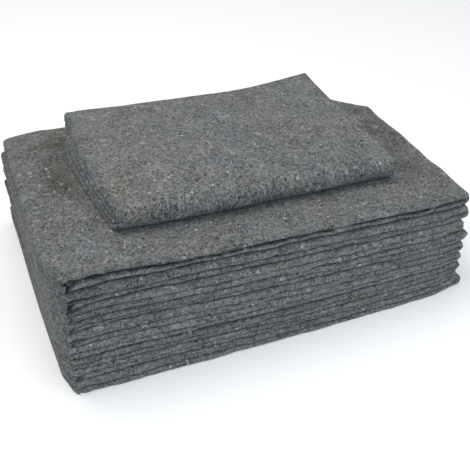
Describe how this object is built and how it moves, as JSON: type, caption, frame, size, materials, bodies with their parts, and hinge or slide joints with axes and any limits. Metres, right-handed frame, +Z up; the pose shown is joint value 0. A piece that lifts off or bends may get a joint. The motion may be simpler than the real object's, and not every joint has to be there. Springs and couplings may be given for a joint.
{
  "type": "moving blanket stack",
  "caption": "Neat stack of grey recycled-felt moving blankets, each folded flat into a thick rectangle, with a smaller folded blanket lying on top.",
  "frame": {"origin": "centre of the stack's footprint box, on the surface that it stands on", "axes": "+X along the stack's long front, to the right as seen from the front; +Y towards its back; +Z up"},
  "size_m": [0.7598, 0.5452, 0.2518],
  "materials": {
    "blanket_1": "matt needled felt",
    "blanket_2": "matt needled felt",
    "blanket_3": "matt needled felt",
    "blanket_4": "matt needled felt",
    "blanket_5": "matt needled felt",
    "blanket_6": "matt needled felt",
    "blanket_7": "matt needled felt",
    "blanket_8": "matt needled felt",
    "blanket_9": "matt needled felt",
    "top_blanket": "matt needled felt"
  },
  "bodies": {
    "root": {"blanket_1": "blanket_1", "blanket_2": "blanket_2", "blanket_3": "blanket_3", "blanket_4": "blanket_4", "blanket_5": "blanket_5", "blanket_6": "blanket_6", "blanket_7": "blanket_7", "blanket_8": "blanket_8", "blanket_9": "blanket_9", "top_blanket": "top_blanket"}
  },
  "joints": []
}
